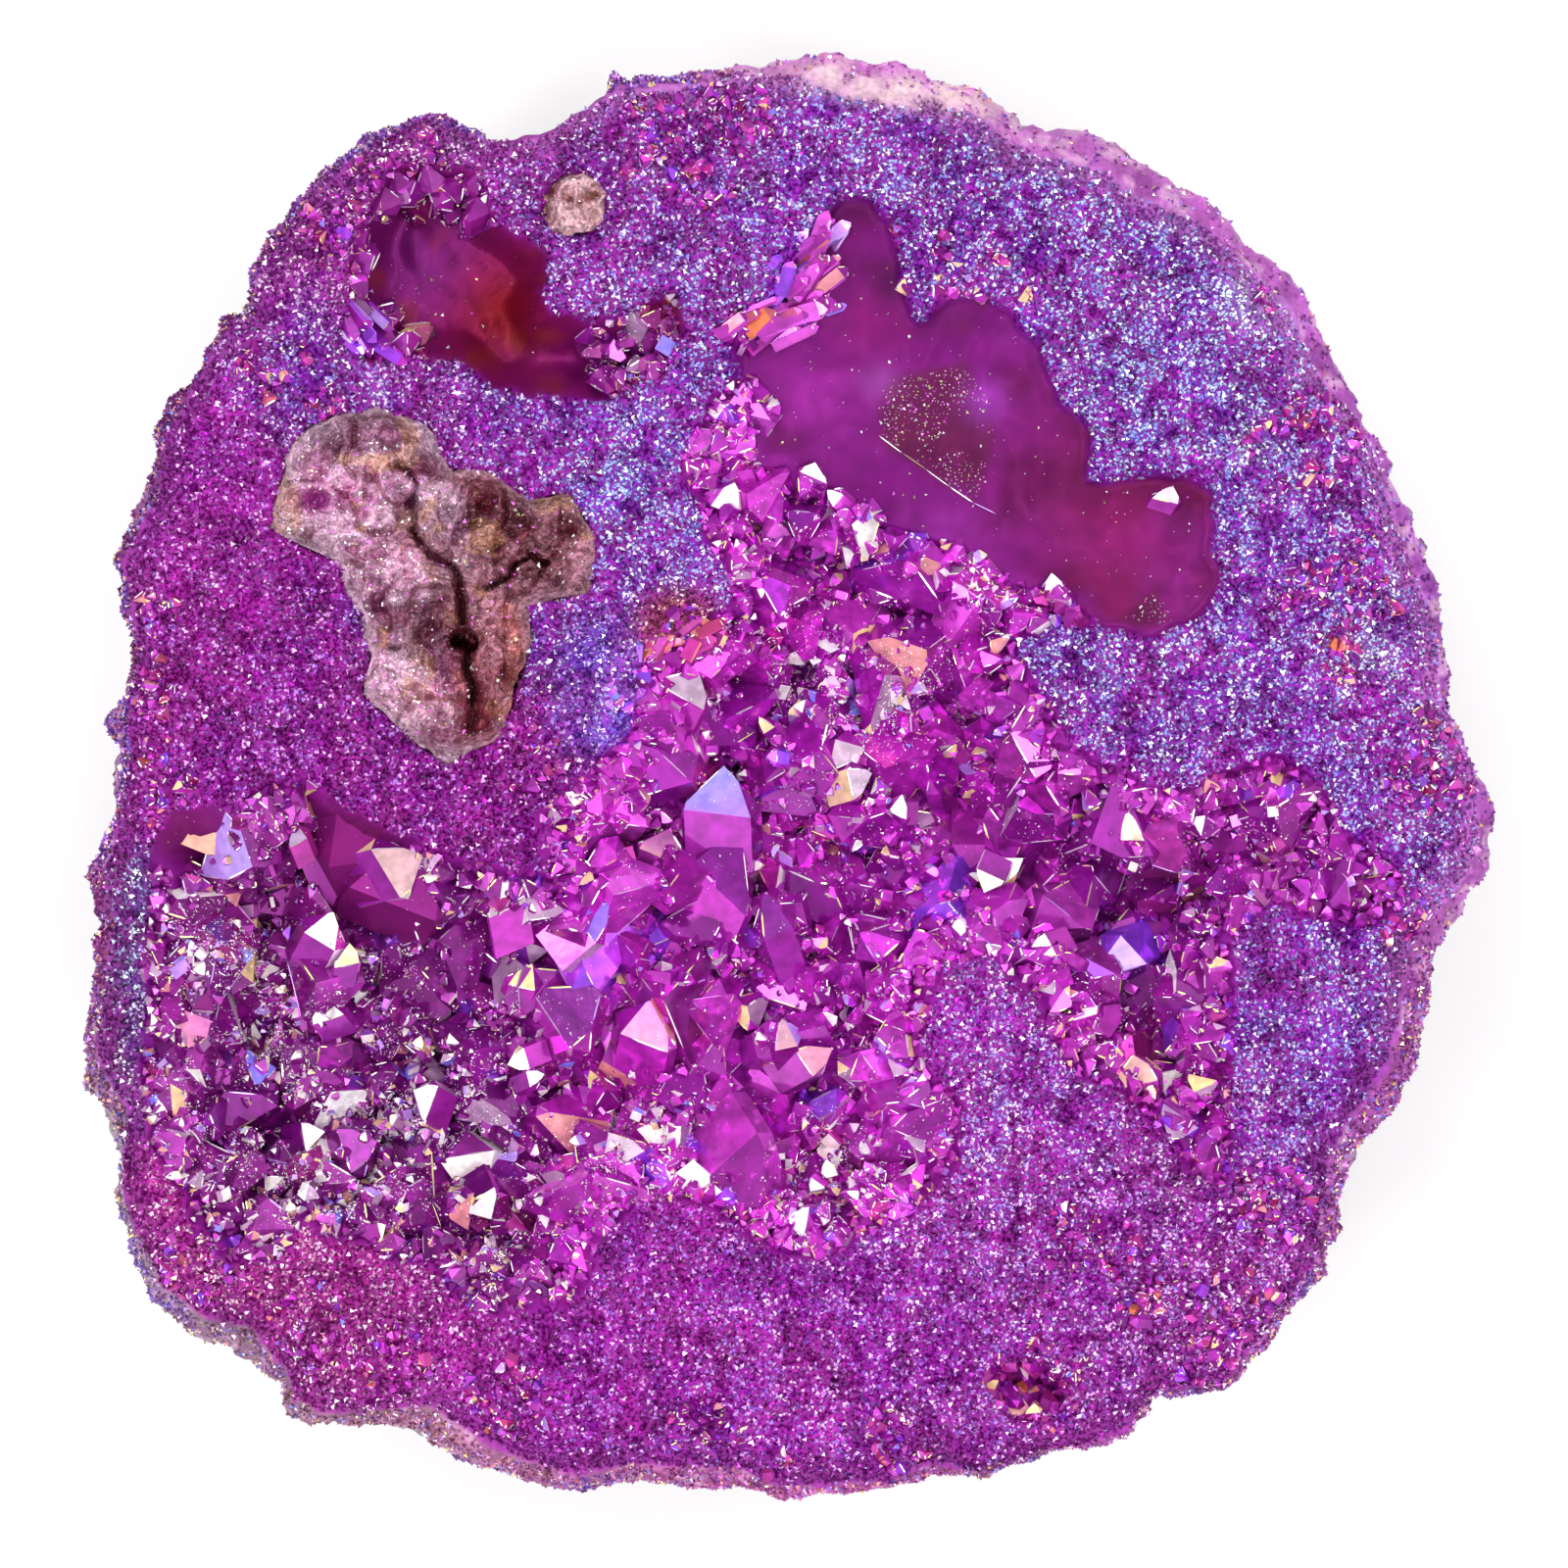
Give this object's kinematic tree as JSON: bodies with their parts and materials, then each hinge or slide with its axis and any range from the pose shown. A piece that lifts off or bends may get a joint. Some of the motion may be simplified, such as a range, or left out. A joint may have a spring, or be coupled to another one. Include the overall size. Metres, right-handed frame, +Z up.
{
  "type": "titanium aura quartz geode",
  "caption": "Sawn half of a coated quartz geode: sandy violet stone with a crystal-lined hollow, a deep cavern and brown mineral, resting on the flat of its back.",
  "frame": {"origin": "middle of the part's footprint, on the surface that its ground foot rests on", "axes": "+Z up and out of the sawn face, +Y towards the end with the chimney, +X to the right seen from above"},
  "size_m": [0.1126, 0.1151, 0.042],
  "materials": {
    "stone": "sandy sawn face with a metallic violet-blue coating, dull cortex below",
    "quartz": "glassy crystal faces under a metallic magenta coating",
    "brown_mineral": "lumpy brown mineral with a fine pinkish sparkle"
  },
  "bodies": {
    "root": {"geode_matrix": "stone", "main_druse": "quartz", "pocket_crystals": "quartz", "south_vug_crystals": "quartz", "vug_mineral": "brown_mineral", "rim_nodule": "brown_mineral"}
  },
  "joints": []
}
